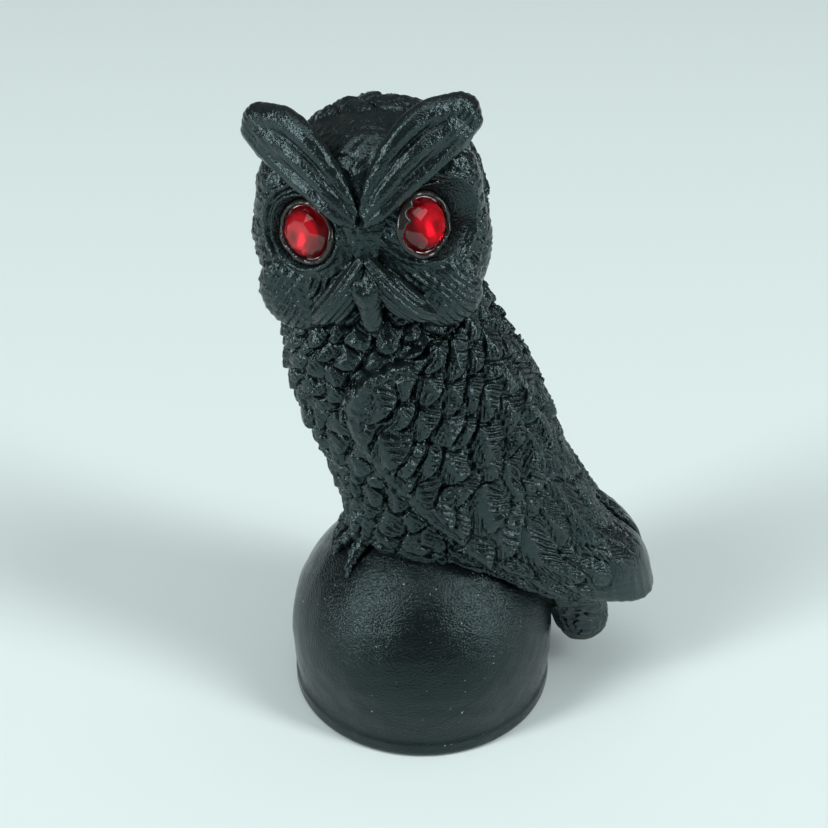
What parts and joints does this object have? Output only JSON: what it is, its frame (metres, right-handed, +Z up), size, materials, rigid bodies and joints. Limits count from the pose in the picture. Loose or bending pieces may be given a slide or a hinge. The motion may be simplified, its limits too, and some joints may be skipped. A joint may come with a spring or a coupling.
{
  "type": "owl figurine",
  "caption": "Black cast figurine of a horned owl looking over its shoulder, perched on a smooth domed stand, with faceted red stone eyes.",
  "frame": {"origin": "centre of the dome's flat resting face", "axes": "+Z up through the dome's axis; -Y is where the owl's face looks; the bird's breast points mostly towards -X and its tail towards +X"},
  "size_m": [0.0589, 0.042, 0.1024],
  "materials": {
    "black_cast": "satin black, fine grain",
    "red_stone": "polished, faceted",
    "eye_foil": "bright foil",
    "eye_glue": "gloss, hardened glue"
  },
  "bodies": {
    "root": {"dome_stand": "black_cast", "trunk": "black_cast", "skull": "black_cast", "beak": "black_cast", "left_facial_disc": "black_cast", "right_facial_disc": "black_cast", "left_brow_plume": "black_cast", "right_brow_plume": "black_cast", "left_wing": "black_cast", "right_wing": "black_cast", "tail": "black_cast", "left_foot": "black_cast", "right_foot": "black_cast", "left_eye_stone": "red_stone", "left_eye_foil": "eye_foil", "left_eye_glue": "eye_glue", "right_eye_stone": "red_stone", "right_eye_foil": "eye_foil", "right_eye_glue": "eye_glue"}
  },
  "joints": []
}
